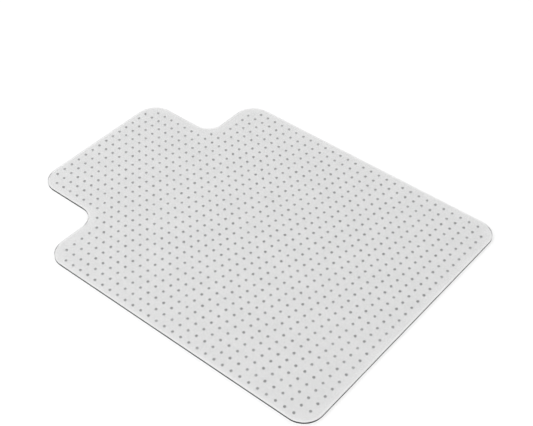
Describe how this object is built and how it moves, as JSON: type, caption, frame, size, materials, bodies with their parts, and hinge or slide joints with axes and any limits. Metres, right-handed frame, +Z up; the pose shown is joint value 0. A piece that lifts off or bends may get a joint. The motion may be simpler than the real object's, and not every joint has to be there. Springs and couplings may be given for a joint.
{
  "type": "chair mat",
  "caption": "Clear plastic chair mat with a centred lip at the desk end, rounded corners and a grid of grip studs underneath, for rolling an office chair on carpet.",
  "frame": {"origin": "on the floor under the stud tips, at the middle of the mat's bounding box", "axes": "+X across the mat to the right, +Y along the mat towards the desk, where the lip is, +Z up out of the rolling face"},
  "size_m": [0.9144, 1.2192, 0.0084],
  "materials": {
    "clear_vinyl": "clear, faintly grey flexible vinyl with a fine matte texture on top",
    "stud_vinyl": "the same clear vinyl, smooth, looking greyer where a stud gathers the light"
  },
  "bodies": {
    "root": {"wear_sheet": "clear_vinyl", "stud_backing": "stud_vinyl"}
  },
  "joints": []
}
